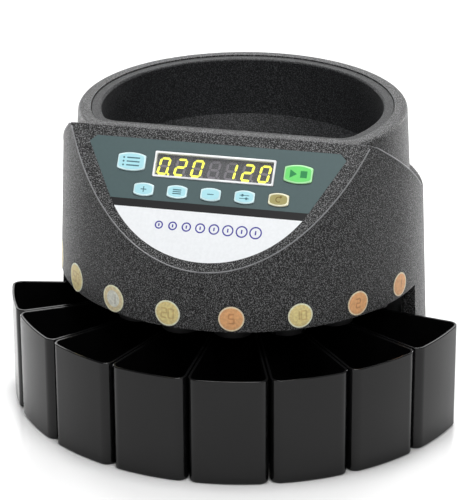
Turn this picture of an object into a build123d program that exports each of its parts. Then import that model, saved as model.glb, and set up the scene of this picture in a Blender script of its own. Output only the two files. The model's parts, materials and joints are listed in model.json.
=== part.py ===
from build123d import *
import math
import os

os.makedirs("parts", exist_ok=True)

# A coin sorting machine: a round hopper over a spinning disc, a slotted rail ring round the disc,
# eight chutes, and eight wedge-shaped coin boxes that stand in a fan in front of a rear column.
# Millimetres, +Z up, front towards -Y, floor at z = 0. Every part is drawn about the drum's axis and
# moved back by AXIS_Y, so that the origin is the middle of the whole machine's footprint.

# Whole machine
AXIS_Y = 17.60              # the drum's axis behind the middle of the footprint
BODY_R0 = 145.74            # outer radius of the body's cone at the floor
BODY_TAPER = 0.0407         # loss of radius per millimetre of height
WALL = 2.6                  # housing wall
BODY_BOTTOM = 3.0           # underside of housing and base pan
SKIRT_Z = 105.0             # lower edge of the front skirt
COLUMN_AZ = 81.0            # the rear column starts this many degrees either side of the front
GAP = 0.3                   # clearance between separate pieces
EDGE_R = 1.0                # rounding of the housing's outer edges
LUG_AZIMUTHS, LUG_R = [-96, -150, 150, 96], 133.0   # where the housing is screwed to the deck

# Roof lines, seen from the side
PANEL_TILT = 52.0           # slope of the control panel above the horizontal
PANEL_Y, PANEL_Z = -75.15, 233.0    # a point of the panel's surface, where panel sketches start
CREST_Y = -73.9             # the ridge between the panel and the shoulder
SHOULDER_TILT = 36.6        # fall of the shoulder towards the rear
SHOULDER_END_Y = 8.0        # where the shoulder starts to level out
SHOULDER_BEND = 23.0        # chord of that bend

# Hopper
TOWER_R, TOWER_TOP = 125.5, 233.0   # outer radius at the rim
TOWER_TAPER = 0.0547
TOWER_BOTTOM = 148.0
TOWER_FRONT = -72.6         # flat front of the tower
TOWER_LIP_Z = 226.0         # the flat front goes down to here
RIM_INNER_R, RIM_INNER_FRONT = 115.6, -63.4
RIM_THICK = 2.8
BOWL_R, BOWL_FRONT = 107.5, -57.0   # the funnel's mouth
BOWL_CORNER_R = 14.0
BOWL_WALL = 2.2
LIP_Z0, LIP_THICK, LIP_EDGE_R = 229.6, 2.6, 1.8
BOWL_SLOPE_Z = 215.0        # the flat front turns into the slope here
BOWL_CONE_Z = 186.0         # the round wall turns into the cone here
BOWL_FLOOR_R, BOWL_FLOOR_Z = 90.0, 154.0

# Sorting level
DISC_R, DISC_TOP, DISC_THICK = 92.0, 148.0, 5.0
RAIL_IN_R, RAIL_OUT_R, RAIL_THICK = 92.6, 131.0, 3.0
TRACK_R = 124.6             # the coins' outer edges run along this wall
COIN_GAP = 3.4              # height of the track
COIN_DIAMETERS = [25.75, 24.25, 23.25, 22.25, 21.25, 19.75, 18.75, 16.25]
CHUTE_R, CHUTE_OUT, CHUTE_WALL = 115.8, 14.6, 1.4
CHUTE_BOTTOM = 95.0
CHUTE_LIP, CHUTE_LIP_THICK = 1.0, 1.2   # the lip that hangs each chute in its plate
CHUTE_PLATE_IN_R, CHUTE_PLATE_OUT_R, CHUTE_PLATE_THICK = 96.0, 133.0, 2.4
PILLAR_AZIMUTHS, PILLAR_R = [-118, -168, 168, 118], 129.2

# Coin boxes
BOXES = 8
BOX_PITCH = 19.645          # degrees from box to box
BOX_IN_R, BOX_OUT_R = 85.0, 181.0
BOX_HEIGHT = 83.5
BOX_WALL = 2.0
BOX_SIDE_GAP = 0.55         # half the gap between neighbours

# Drive
DECK_Z, DECK_THICK = 108.0, 1.5
DECK_FRONT_R, DECK_REAR_R = 92.0, 137.0
MODULE, GEAR_TEETH, PINION_TEETH = 1.5, 60, 12
GEAR_Z, GEAR_THICK = 130.0, 6.0
SHAFT_R, SHAFT_CLEAR = 3.98, 0.02
MOTOR_Y = MODULE * (GEAR_TEETH + PINION_TEETH) / 2
BEARING_Z, BEARING_R, BEARING_H = [111.5, 120.0], 11.0, 7.0
BARREL_R, BARREL_TOP, BARREL_FLANGE_R, BARREL_FLANGE_H = 14.0, 127.5, 30.0, 2.5
BARREL_BOLT_R, MOTOR_BOLT_R = 24.0, 19.0    # bolt circles on the deck
GEARBOX_R, GEARBOX_H = 25.0, 24.0
MOTOR_R, MOTOR_H, MOTOR_BOSS_R, MOTOR_BOSS_H = 19.0, 46.0, 6.0, 3.0

# Base
PEDESTAL_R = 79.0
PAN_THICK = 2.5
PAN_TOP = BODY_BOTTOM + PAN_THICK
POST_R, TAP_R, CLEAR_R = 5.0, 1.5, 1.7      # posts, threaded holes and screw clearance holes
FOOT_R = 9.0
DECK_POSTS = [(-52, -42), (52, -42), (-104, 52), (104, 52), (-18, 100), (18, 100)]
FEET = [(-62, -20), (62, -20), (-118, 40), (118, 40), (-40, 128), (40, 128), (0, -66)]

# Panel pieces: sketch coordinates are across the panel, then up its slope
OVERLAY_THICK = 0.5
OVERLAY_TOP, OVERLAY_HALF, OVERLAY_CHAMFER = -6.6, 97.2, 4.9
OVERLAY_ARC_R, OVERLAY_ARC_V = 85.4, -12.0
DISPLAY_V, DISPLAY_W, DISPLAY_H = -25.25, 91.6, 19.9
FRAME_EDGE, FRAME_PROUD = 1.5, 0.7
DIGITS, DIGIT_PITCH = 7, 12.7
KEY_PROUD, KEY_TRAVEL = 1.0, 0.8
KEY_GAP = 0.35              # clearance round a key
KEY_STEM_DEPTH = 7.2        # how far a key's stem reaches below the surface
BOARD_DEPTH, BOARD_THICK = 11.5, 1.6
# name: centre across, centre up the slope, width, height at the middle, height at the sides
KEYS = {
    "key_report": (-62.8, -25.3, 21.4, 14.3, 10.4),
    "key_start": (63.3, -24.6, 21.4, 14.3, 10.4),
    "key_plus": (-50.4, -45.7, 15.3, 10.2, 7.0),
    "key_batch": (-25.0, -45.6, 15.3, 10.2, 7.0),
    "key_minus": (0.4, -45.5, 15.3, 10.2, 7.0),
    "key_settings": (25.9, -45.3, 15.3, 10.2, 7.0),
    "key_clear": (51.4, -45.1, 15.3, 10.2, 7.0),
}
BOARD_BOSSES = [(-81.0, -15.0), (81.0, -15.0), (-68.0, -38.0), (68.0, -38.0)]

# Labels on the skirt, one for each box
LABEL_Z, LABEL_THICK = 115.5, 0.3
LABEL_AZIMUTHS = [-70.0, -50.2, -29.8, -9.8, 9.9, 30.7, 50.5, 70.1]
LABEL_DIAMETERS = [23.0, 22.1, 20.9, 19.9, 19.2, 19.0, 18.8, 18.4]

# Rear plate, set into a pocket of the column
PLATE_Y, PLATE_W, PLATE_Z0, PLATE_Z1, PLATE_THICK = 128.0, 100.0, 20.0, 70.0, 1.6
PLATE_SCREWS = [(-46, 25), (46, 25), (-46, 65), (46, 65)]
ROCKER_X, ROCKER_Z, ROCKER_TILT = 6.0, 44.0, 12.0
ROCKER_PIN_R = 1.2

LOW = (Align.CENTER, Align.CENTER, Align.MIN)
PANEL = Plane((0, PANEL_Y, PANEL_Z), x_dir=(1, 0, 0),
              z_dir=(0, -math.sin(math.radians(PANEL_TILT)), math.cos(math.radians(PANEL_TILT))))


# ---------------------------------------------------------------- helpers

def save(node, *solids):
    """Write one node, moved from the drum's axis to the machine's origin."""
    moved = [Pos(0, AXIS_Y, 0) * solid for solid in solids]
    shape = moved[0] if len(moved) == 1 else Compound(moved)
    export_step(shape, f"parts/{node}.step")


def rod(radius, z0, z1, x=0.0, y=0.0):
    """An upright cylinder."""
    return Pos(x, y, z0) * Cylinder(radius, z1 - z0, align=LOW)


def tube(inner, outer, z0, z1, x=0.0, y=0.0):
    """An upright tube."""
    return rod(outer, z0, z1, x, y) - rod(inner, z0 - 1, z1 + 1, x, y)


def block(x0, x1, y0, y1, z0, z1):
    """A box between two corners."""
    size = Box(x1 - x0, y1 - y0, z1 - z0)
    return Pos((x0 + x1) / 2, (y0 + y1) / 2, (z0 + z1) / 2) * size


def pie(half_angle, reach, z0, z1):
    """An upright wedge about the front, from the axis out to reach and beyond."""
    turn = math.radians(half_angle)
    x, y = reach * math.sin(turn), -reach * math.cos(turn)
    plan = make_face(Polyline((0, 0), (x, y), (x, -reach), (-x, -reach), (-x, y), close=True))
    return extrude(Pos(0, 0, z0) * plan, amount=z1 - z0)


def body_radius(z):
    return BODY_R0 - BODY_TAPER * z


def tower_radius(z):
    return TOWER_R + TOWER_TAPER * (TOWER_TOP - z)


def cone_between(radius_at, z0, z1, grow=0.0):
    """A solid cone whose wall follows radius_at, grown or (negative) shrunk."""
    return Pos(0, 0, z0) * Cone(radius_at(z0) + grow, radius_at(z1) + grow, z1 - z0, align=LOW)


def panel_height(y):
    """Height of the panel's plane at y."""
    return PANEL_Z + math.tan(math.radians(PANEL_TILT)) * (y - PANEL_Y)


def side_prism(face):
    """A solid from a side-view face, drawn as (y, z), across the whole machine."""
    return extrude(Plane.YZ * face, amount=200, both=True)


def roof(inset):
    """All that lies under the panel slope and the shoulder, set in by inset."""
    tilt = math.radians(SHOULDER_TILT)
    crest = (CREST_Y, panel_height(CREST_Y))
    fall = math.tan(tilt) * (SHOULDER_END_Y - CREST_Y)
    bend = (SHOULDER_END_Y, crest[1] - fall)
    level = (bend[0] + SHOULDER_BEND * math.cos(tilt / 2), bend[1] - SHOULDER_BEND * math.sin(tilt / 2))
    outline = [
        Line((-170, -20), (-170, panel_height(-170))),
        Line((-170, panel_height(-170)), crest),
        Line(crest, bend),
        TangentArc(bend, level, tangent=(math.cos(tilt), -math.sin(tilt))),
        Line(level, (170, level[1])),
        Line((170, level[1]), (170, -20)),
        Line((170, -20), (-170, -20)),
    ]
    face = make_face(outline)
    if inset:
        face = offset(face, amount=-inset, kind=Kind.INTERSECTION)
    return side_prism(face)


def d_face(radius, front, corner):
    """A circle cut off straight at the front, with rounded corners there."""
    face = Circle(radius) & (Pos(0, front + 200) * Rectangle(400, 400))
    if corner:
        corners = face.vertices().sort_by(Axis.Y)[:2]
        face = fillet(corners, corner)
    return face


def screw(x, y, z, head_r, head_h, shank_r, length, up=True):
    """A pan-head screw at the seat of its head; its shank points down when up is true."""
    head = fillet(Cylinder(head_r, head_h, align=LOW).edges().sort_by(Axis.Z)[-1], head_h * 0.6)
    slot = Pos(0, 0, head_h - 0.5) * Box(head_r * 1.2, 0.6, 1.1)
    cross = Rot(0, 0, 90) * slot
    shank = Pos(0, 0, -length) * Cylinder(shank_r, length, align=LOW)
    body = head - slot - cross + shank
    if not up:
        body = Rot(180, 0, 0) * body
    return Pos(x, y, z) * body


# ---------------------------------------------------------------- panel outlines

def overlay_face(grow=0.0):
    """The printed panel sheet: chamfered top, straight sides tangent to a round bottom."""
    radius = OVERLAY_ARC_R
    reach = math.acos(radius / OVERLAY_HALF)
    side = (radius * math.cos(reach), OVERLAY_ARC_V - radius * math.sin(reach))
    top, half, cut = OVERLAY_TOP, OVERLAY_HALF, OVERLAY_CHAMFER
    outline = [
        Line((-half + cut, top), (half - cut, top)),
        Line((half - cut, top), (half, top - cut)),
        Line((half, top - cut), side),
        ThreePointArc(side, (0, OVERLAY_ARC_V - radius), (-side[0], side[1])),
        Line((-side[0], side[1]), (-half, top - cut)),
        Line((-half, top - cut), (-half + cut, top)),
    ]
    face = make_face(outline)
    return offset(face, amount=grow, kind=Kind.INTERSECTION) if grow else face


def key_face(name, grow=0.0):
    """A key's outline: straight sides, bowed top and bottom, rounded corners."""
    u, v, width, middle, side = KEYS[name]
    half, high, low = width / 2, middle / 2, side / 2
    outline = [
        Line((-half, -low), (-half, low)),
        ThreePointArc((-half, low), (0, high), (half, low)),
        Line((half, low), (half, -low)),
        ThreePointArc((half, -low), (0, -high), (-half, -low)),
    ]
    face = make_face(outline)
    face = fillet(face.vertices(), 1.3)
    if grow:
        face = offset(face, amount=grow, kind=Kind.ARC)
    return Pos(u, v) * face


def display_face(grow=0.0):
    """The display's outline."""
    return Pos(0, DISPLAY_V) * RectangleRounded(DISPLAY_W + 2 * grow, DISPLAY_H + 2 * grow, 1.0)


def on_panel(face, low, high):
    """A solid on a panel sketch, from low to high above the panel's surface."""
    return extrude(PANEL.offset(low) * face, amount=high - low)


# ---------------------------------------------------------------- housing

def rear_pocket(grow):
    """The space of the rear plate's pocket, as a block that runs out through the wall."""
    half = PLATE_W / 2 + grow
    return block(-half, half, PLATE_Y + 0.01, 160, PLATE_Z0 - grow, PLATE_Z1 + grow)


def vent_slots():
    """Upright slots in both rear quarters of the column."""
    cuts = []
    for side in (-1, 1):
        for step in range(7):
            azimuth = side * (104 + 6 * step)
            slot = block(-1.5, 1.5, -150, -120, 58, 92)
            cuts.append(Rot(0, 0, azimuth) * slot)
    return cuts


def housing():
    """The one-piece outer casing: skirt, panel slope, shoulder and rear column."""
    outer = cone_between(body_radius, BODY_BOTTOM, 245) & roof(0)
    sharp = [e for e in outer.edges() if e.center().Z > 100]
    outer = fillet(sharp, EDGE_R)
    inner = cone_between(body_radius, BODY_BOTTOM - 1, 245, -WALL) & roof(WALL)
    shell = outer - inner
    shell -= pie(COLUMN_AZ, 200, 0, SKIRT_Z)
    for side in (-1, 1):
        flange = block(-WALL / 2, WALL / 2, -144, -131, BODY_BOTTOM, SKIRT_Z + 6)
        flange = Rot(0, 0, side * COLUMN_AZ) * Pos(side * WALL / 2, 0, 0) * flange
        shell += flange & cone_between(body_radius, BODY_BOTTOM, 120, -WALL / 2)
    pocket_wall = rear_pocket(2.2) & cone_between(body_radius, BODY_BOTTOM, 120, -WALL / 2)
    shell += pocket_wall - rear_pocket(0)
    shell -= rear_pocket(0)
    for azimuth in LUG_AZIMUTHS:
        lug = block(-6, 6, -139.5, -LUG_R + 5, DECK_Z + DECK_THICK, DECK_Z + 11)
        lug &= cone_between(body_radius, DECK_Z, DECK_Z + 20, -WALL / 2)
        shell += Rot(0, 0, azimuth) * lug
        shell -= Rot(0, 0, azimuth) * rod(1.5, DECK_Z, DECK_Z + 10, 0, -LUG_R)
    shell -= cone_between(tower_radius, 120, 250, GAP) & block(-200, 200, TOWER_FRONT - GAP, 200, 100, 260)
    for u, v in BOARD_BOSSES:
        shell += on_panel(Pos(u, v) * Circle(3.4), -BOARD_DEPTH, -WALL / 2)
        shell -= on_panel(Pos(u, v) * Circle(1.3), -BOARD_DEPTH - 1, -WALL)
    shell -= on_panel(overlay_face(0.1), -OVERLAY_THICK, 5)
    shell -= on_panel(display_face(0.15), -20, 5)
    for name in KEYS:
        shell -= on_panel(key_face(name, KEY_GAP), -8, 5)
    for slot in vent_slots():
        shell -= slot
    return shell


def panel_overlay():
    """The printed sheet in the panel's recess."""
    sheet = on_panel(overlay_face(), -OVERLAY_THICK, 0)
    sheet -= on_panel(display_face(0.15), -2, 2)
    for name in KEYS:
        sheet -= on_panel(key_face(name, KEY_GAP), -2, 2)
    return sheet


def display_frame():
    """The white bezel round the display."""
    ring = on_panel(display_face(), -WALL, FRAME_PROUD)
    top = ring.faces().sort_by(Axis((0, 0, 0), PANEL.z_dir))[-1]
    ring = fillet(top.edges(), 0.5)
    return ring - on_panel(display_face(-FRAME_EDGE), -5, 5)


def display_window():
    """The clear pane inside the bezel."""
    return on_panel(display_face(-FRAME_EDGE - 0.05), -1.1, -0.1)


def display_modules():
    """Seven seven-segment modules side by side."""
    for index in range(DIGITS):
        u = DIGIT_PITCH * (index - (DIGITS - 1) / 2)
        face = Pos(u, DISPLAY_V) * Rectangle(DIGIT_PITCH - 0.1, DISPLAY_H - 2 * FRAME_EDGE - 0.3)
        yield on_panel(face, -BOARD_DEPTH, -WALL - 0.1)


def control_board():
    """The circuit board behind the panel."""
    corners = [(-86, -11), (86, -11), (68, -53), (-68, -53)]
    board = on_panel(make_face(Polyline(*corners, close=True)), -BOARD_DEPTH - BOARD_THICK, -BOARD_DEPTH)
    for u, v in BOARD_BOSSES:
        board -= on_panel(Pos(u, v) * Circle(1.5), -20, 0)
    return board


def board_screws():
    """Screws that hold the control board to the housing's bosses."""
    for u, v in BOARD_BOSSES:
        turned = Rot(180, 0, 0) * screw(0, 0, 0, 2.6, 1.8, 1.2, 7)
        yield PANEL * Pos(u, v, -BOARD_DEPTH - BOARD_THICK) * turned


def key_cap(name):
    """A key: bevelled cap, wider flange under the wall, and a stem over its switch."""
    cap = on_panel(key_face(name), -WALL - 0.15, KEY_PROUD)
    top = cap.faces().sort_by(Axis((0, 0, 0), PANEL.z_dir))[-1]
    cap = fillet(top.edges(), 0.6)
    cap += on_panel(key_face(name, 1.3), -WALL - 1.35, -WALL - 0.15)
    u, v = KEYS[name][:2]
    return cap + on_panel(Pos(u, v) * Circle(2), -KEY_STEM_DEPTH, -WALL - 1)


def tact_switches():
    """One push switch under each key."""
    for u, v, *_ in KEYS.values():
        body = on_panel(Pos(u, v) * Rectangle(6, 6), -BOARD_DEPTH, -BOARD_DEPTH + 2.5)
        yield body + on_panel(Pos(u, v) * Circle(1.7), -BOARD_DEPTH + 2, -KEY_STEM_DEPTH - KEY_TRAVEL - 0.2)


def coin_label(index):
    """A round label lying on the skirt's cone."""
    disc = Rot(90, 0, 0) * Cylinder(LABEL_DIAMETERS[index] / 2, 60)
    disc = Pos(0, -body_radius(LABEL_Z), LABEL_Z) * disc
    skin = cone_between(body_radius, 90, 140, LABEL_THICK) - cone_between(body_radius, 89, 141)
    label = Rot(0, 0, LABEL_AZIMUTHS[index]) * disc
    return label & skin


# ---------------------------------------------------------------- hopper

def hopper_tower():
    """The upright outer wall of the hopper with its rounded rim."""
    front = block(-200, 200, TOWER_FRONT, 200, 100, 260)
    outer = cone_between(tower_radius, TOWER_BOTTOM, TOWER_TOP) & front
    top = outer.faces().sort_by(Axis.Z)[-1]
    outer = fillet(top.edges(), 3.6)
    inner_front = block(-200, 200, TOWER_FRONT + WALL, 200, 100, 260)
    inner = cone_between(tower_radius, TOWER_BOTTOM - 1, TOWER_TOP - RIM_THICK, -WALL) & inner_front
    mouth = extrude(Pos(0, 0, 200) * d_face(RIM_INNER_R, RIM_INNER_FRONT, BOWL_CORNER_R), amount=60)
    shell = outer - inner - mouth
    shell -= block(-200, 200, -200, TOWER_FRONT + 10, 100, TOWER_LIP_Z - 22)
    shell -= block(-200, 200, -200, -10, 100, 165)
    return shell - block(-100, 100, -200, TOWER_FRONT + 6, 100, TOWER_LIP_Z)


def bowl_solids(grow):
    """The bowl's inside (grow 0) or outside (grow = wall): a D-shaped mouth and a sloped cone under it."""
    step = BOWL_SLOPE_Z + grow
    mouth = extrude(Pos(0, 0, step) * d_face(BOWL_R + grow, BOWL_FRONT - grow, BOWL_CORNER_R + grow),
                    amount=TOWER_TOP + 5 - step)
    profile = make_face(Polyline((0, BOWL_FLOOR_Z), (BOWL_FLOOR_R + grow, BOWL_FLOOR_Z),
                                 (BOWL_R + grow, BOWL_CONE_Z), (BOWL_R + grow, step), (0, step), close=True))
    round_part = revolve(Plane.XZ * profile, Axis.Z)
    tilt = math.radians(PANEL_TILT)
    shift = grow / math.sin(tilt)
    low_y = BOWL_FRONT - shift - (BOWL_SLOPE_Z - 100) / math.tan(tilt)
    high_y = BOWL_FRONT - shift + 60 / math.tan(tilt)
    behind = make_face(Polyline((low_y, 100), (high_y, BOWL_SLOPE_Z + 60),
                                (170, BOWL_SLOPE_Z + 60), (170, 100), close=True))
    return mouth, round_part & side_prism(behind)


def hopper_bowl():
    """The funnel that drops coins on the disc, with the lip inside the rim."""
    mouth, cone = bowl_solids(BOWL_WALL)
    bowl = (mouth & block(-200, 200, -200, 200, 100, LIP_Z0 + 0.5)) + cone
    bowl += extrude(Pos(0, 0, LIP_Z0) * d_face(RIM_INNER_R - 0.6, RIM_INNER_FRONT + 0.6, BOWL_CORNER_R),
                    amount=LIP_THICK)
    for hollow in bowl_solids(0):
        bowl -= hollow
    bowl -= rod(BOWL_FLOOR_R, BOWL_FLOOR_Z - 2, BOWL_FLOOR_Z + 0.01)
    edge = bowl.faces().sort_by(Axis.Z)[-1].inner_wires()[0].edges()
    return fillet(edge, LIP_EDGE_R)


# ---------------------------------------------------------------- sorting level

def coin_guide_ring():
    """The fixed ring over the track that lets coins out in one layer."""
    under = DISC_TOP + COIN_GAP
    wall = TRACK_R + 2.4
    profile = make_face(Polyline((86, under), (TRACK_R, under), (TRACK_R, DISC_TOP),
                                 (wall, DISC_TOP), (wall, under + 2), (94, under + 2),
                                 (94, under + 2.4), (86, under + 2.4), close=True))
    return revolve(Plane.XZ * profile, Axis.Z)


def box_azimuth(index):
    """Direction of a box, in degrees from the front, from the left end of the fan."""
    return BOX_PITCH * (index - (BOXES - 1) / 2)


def rail_ring():
    """The slotted ring: each slot is as wide as its coin, largest at the left end."""
    ring = tube(RAIL_IN_R, RAIL_OUT_R, DISC_TOP - RAIL_THICK, DISC_TOP)
    for index, diameter in enumerate(COIN_DIAMETERS):
        middle = TRACK_R - diameter / 2 - 0.2
        slot = Rectangle(diameter * 0.92, diameter + 0.6)
        slot = fillet(slot.vertices(), 4)
        cut = Pos(0, -middle, 130) * extrude(slot, amount=40)
        ring -= Rot(0, 0, box_azimuth(index)) * cut
    for azimuth in PILLAR_AZIMUTHS:
        ring -= Rot(0, 0, azimuth) * rod(1.6, 140, 160, 0, -PILLAR_R)
    return ring


def rail_pillars():
    """Posts between the deck and the rail ring."""
    for azimuth in PILLAR_AZIMUTHS:
        post = tube(1.6, 4, DECK_Z + DECK_THICK, DISC_TOP - RAIL_THICK, 0, -PILLAR_R + 1)
        yield Rot(0, 0, azimuth) * post


def chute_plate():
    """The curved plate under the rail that carries the chutes."""
    top = DISC_TOP - RAIL_THICK
    plate = tube(CHUTE_PLATE_IN_R, CHUTE_PLATE_OUT_R, top - CHUTE_PLATE_THICK, top)
    plate &= pie(COLUMN_AZ + 2, 200, 100, 200)
    for index in range(BOXES):
        seat = rod(CHUTE_OUT + 0.1, top - 5, top + 1, 0, -CHUTE_R)
        seat += rod(CHUTE_OUT + CHUTE_LIP + 0.1, top - CHUTE_LIP_THICK, top + 1, 0, -CHUTE_R)
        plate -= Rot(0, 0, box_azimuth(index)) * seat
    return plate


def coin_chutes():
    """Eight round chutes that hang in the plate by their lips and end over the boxes."""
    top = DISC_TOP - RAIL_THICK
    for index in range(BOXES):
        chute = tube(CHUTE_OUT - CHUTE_WALL, CHUTE_OUT, CHUTE_BOTTOM, top, 0, -CHUTE_R)
        chute += tube(CHUTE_OUT - 0.1, CHUTE_OUT + CHUTE_LIP, top - CHUTE_LIP_THICK, top, 0, -CHUTE_R)
        yield Rot(0, 0, box_azimuth(index)) * chute


def sorting_disc():
    """The spinning disc with a raised edge bead, four low drivers and a hub."""
    profile = make_face(Polyline((SHAFT_R, DISC_TOP - DISC_THICK), (DISC_R, DISC_TOP - DISC_THICK),
                                 (DISC_R, DISC_TOP), (DISC_R - 4, DISC_TOP), (DISC_R - 6, DISC_TOP - 1),
                                 (30, DISC_TOP - 1), (26, DISC_TOP + 1), (SHAFT_R, DISC_TOP + 1), close=True))
    disc = revolve(Plane.XZ * profile, Axis.Z)
    for step in range(4):
        rib = block(-2, 2, -84, -30, DISC_TOP - 2, DISC_TOP + 0.6)
        rib = fillet(rib.edges().filter_by(Axis.Z), 1.9)
        disc += Rot(0, 0, 45 + 90 * step) * rib
    return disc - rod(SHAFT_R, 100, 200)


def hub_knob():
    """The domed, scalloped cap that throws coins outwards and hides the shaft's end."""
    z0 = DISC_TOP + 1
    knob = rod(24, z0, z0 + 17)
    knob = fillet(knob.edges().sort_by(Axis.Z)[-1], 11)
    for step in range(6):
        knob -= Rot(0, 0, 60 * step) * rod(5.5, z0 - 1, z0 + 30, 0, -27)
    return knob - rod(SHAFT_R + 0.5, z0 - 1, z0 + 5)


def sensor_board():
    """The curved board that carries one coin sensor for each slot."""
    return tube(128.2, 134.5, DISC_TOP + 0.2, DISC_TOP + 1.8) & pie(COLUMN_AZ - 2, 200, 100, 200)


def coin_sensors():
    """Forked optical sensors, one over each slot."""
    for index in range(BOXES):
        low = block(-5, 5, -131.5, -128.4, DISC_TOP + 1.8, DISC_TOP + 8)
        arm = block(-5, 5, -129, -119, DISC_TOP + COIN_GAP + 2.3, DISC_TOP + 8)
        yield Rot(0, 0, box_azimuth(index)) * (low + arm)


# ---------------------------------------------------------------- drive

def gear(teeth, thickness, bore):
    """A spur gear with involute flanks and short teeth."""
    pitch = MODULE * teeth / 2
    pressure = math.radians(20)
    base = pitch * math.cos(pressure)
    tip = pitch + 0.7 * MODULE
    root = pitch - 1.0 * MODULE
    backlash = 0.12
    half = math.pi / (2 * teeth) - backlash / (2 * pitch) + math.tan(pressure) - pressure
    start = max(base, root)
    flank = []
    for step in range(5):
        radius = start + (tip - start) * step / 4
        turn = math.acos(min(1.0, base / radius))
        flank.append((radius, half - (math.tan(turn) - turn)))
    if root < start:
        flank.insert(0, (root, flank[0][1]))
    points = []
    for tooth in range(teeth):
        centre = 2 * math.pi * tooth / teeth
        for radius, angle in flank:
            points.append((radius * math.cos(centre - angle), radius * math.sin(centre - angle)))
        for radius, angle in reversed(flank):
            points.append((radius * math.cos(centre + angle), radius * math.sin(centre + angle)))
    blank = extrude(make_face(Polyline(*points, close=True)), amount=thickness)
    return blank - Pos(0, 0, -1) * Cylinder(bore, thickness + 2, align=LOW)


def drive_gear():
    """The big gear on the disc's shaft, with lightening holes and a hub under the disc."""
    wheel = Pos(0, 0, GEAR_Z) * gear(GEAR_TEETH, GEAR_THICK, SHAFT_R)
    for step in range(6):
        wheel -= Rot(0, 0, 60 * step) * rod(8, GEAR_Z - 1, GEAR_Z + GEAR_THICK + 1, 0, -29)
    hub = tube(SHAFT_R, 16, GEAR_Z + GEAR_THICK - 1, DISC_TOP - DISC_THICK)
    return wheel + hub


def motor_pinion():
    """The pinion and its shaft, half a tooth out so that it meshes with the gear."""
    wheel = Rot(0, 0, 90 + 180 / PINION_TEETH) * gear(PINION_TEETH, GEAR_THICK, 1.0)
    wheel = Pos(0, MOTOR_Y, GEAR_Z) * wheel
    collar = rod(6, GEAR_Z - 8, GEAR_Z, 0, MOTOR_Y)
    shaft = rod(3, DECK_Z - 6, GEAR_Z + GEAR_THICK, 0, MOTOR_Y)
    return wheel + collar + shaft


def main_shaft():
    """The plain shaft from the bearings up into the hub."""
    return rod(SHAFT_R, 104, DISC_TOP + 4.5)


def bearing_housing():
    """The flanged tube on the deck that holds both bearings."""
    deck_top = DECK_Z + DECK_THICK
    flange = rod(BARREL_FLANGE_R, deck_top, deck_top + BARREL_FLANGE_H)
    barrel = rod(BARREL_R, deck_top, BARREL_TOP)
    body = flange + barrel - rod(BEARING_R + SHAFT_CLEAR, BEARING_Z[0], 130) - rod(6, 100, 130)
    for step in range(4):
        body -= Rot(0, 0, 45 + 90 * step) * rod(CLEAR_R, 100, 130, 0, -BARREL_BOLT_R)
    return body


def shaft_bearings():
    """Two ball bearings, drawn as closed rings."""
    for z in BEARING_Z:
        yield tube(SHAFT_R + SHAFT_CLEAR, BEARING_R, z, z + BEARING_H)


def gearbox():
    """The motor's round gearbox, hung under the deck."""
    body = rod(GEARBOX_R, DECK_Z - GEARBOX_H, DECK_Z, 0, MOTOR_Y)
    body -= rod(3.3, DECK_Z - 8, DECK_Z + 1, 0, MOTOR_Y)
    for step in range(3):
        hole = rod(TAP_R, DECK_Z - 7, DECK_Z + 1, 0, -MOTOR_BOLT_R)
        body -= Pos(0, MOTOR_Y) * Rot(0, 0, 60 + 120 * step) * hole
    return body


def drive_motor():
    """The motor's can with its rear boss."""
    top = DECK_Z - GEARBOX_H
    can = rod(MOTOR_R, top - MOTOR_H, top, 0, MOTOR_Y)
    can = fillet(can.edges().sort_by(Axis.Z)[0], 2.5)
    return can + rod(MOTOR_BOSS_R, top - MOTOR_H - MOTOR_BOSS_H, top - MOTOR_H + 0.5, 0, MOTOR_Y)


# ---------------------------------------------------------------- chassis and base

def chassis_deck():
    """The plated steel deck with its two folded front walls."""
    deck = rod(DECK_FRONT_R, DECK_Z, DECK_Z + DECK_THICK)
    rear = rod(DECK_REAR_R, DECK_Z, DECK_Z + DECK_THICK) - pie(COLUMN_AZ + 3, 200, 90, 130)
    deck += rear
    for side in (-1, 1):
        wall = block(-0.75, 0.75, -130.4, -PEDESTAL_R - 2, PAN_TOP + 1, DECK_Z + 0.5)
        deck += Rot(0, 0, side * (COLUMN_AZ + 3.3)) * wall
    deck -= rod(5, 100, 120)
    deck -= rod(9, 100, 120, 0, MOTOR_Y)
    for step in range(4):
        deck -= Rot(0, 0, 45 + 90 * step) * rod(TAP_R, 100, 120, 0, -BARREL_BOLT_R)
    for step in range(3):
        deck -= Pos(0, MOTOR_Y) * Rot(0, 0, 60 + 120 * step) * rod(CLEAR_R, 100, 120, 0, -MOTOR_BOLT_R)
    for azimuth in LUG_AZIMUTHS:
        deck -= Rot(0, 0, azimuth) * rod(CLEAR_R, 100, 120, 0, -LUG_R)
    for x, y in DECK_POSTS:
        deck -= rod(CLEAR_R, 100, 120, x, y)
    return deck


def deck_posts():
    """Turned posts between the base pan and the deck."""
    for x, y in DECK_POSTS:
        post = rod(POST_R, PAN_TOP, DECK_Z, x, y)
        post -= rod(TAP_R, PAN_TOP - 1, PAN_TOP + 12, x, y)
        yield post - rod(TAP_R, DECK_Z - 12, DECK_Z + 1, x, y)


def deck_screws():
    """Screws down into the posts, the gearbox and the bearing housing."""
    top = DECK_Z + DECK_THICK
    for x, y in DECK_POSTS:
        yield screw(x, y, top, 3.2, 2.2, 1.4, 9)
    for step in range(3):
        yield Pos(0, MOTOR_Y) * Rot(0, 0, 60 + 120 * step) * screw(0, -MOTOR_BOLT_R, top, 2.8, 2.0, 1.4, 7)
    for step in range(4):
        yield Rot(0, 0, 45 + 90 * step) * screw(0, -BARREL_BOLT_R, top + BARREL_FLANGE_H, 2.8, 2.0, 1.4, 6)


def housing_screws():
    """Screws up through the deck's edge into the housing's lugs."""
    for azimuth in LUG_AZIMUTHS:
        yield Rot(0, 0, azimuth) * screw(0, -LUG_R, DECK_Z, 3.0, 2.2, 1.4, 9, up=False)


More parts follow.
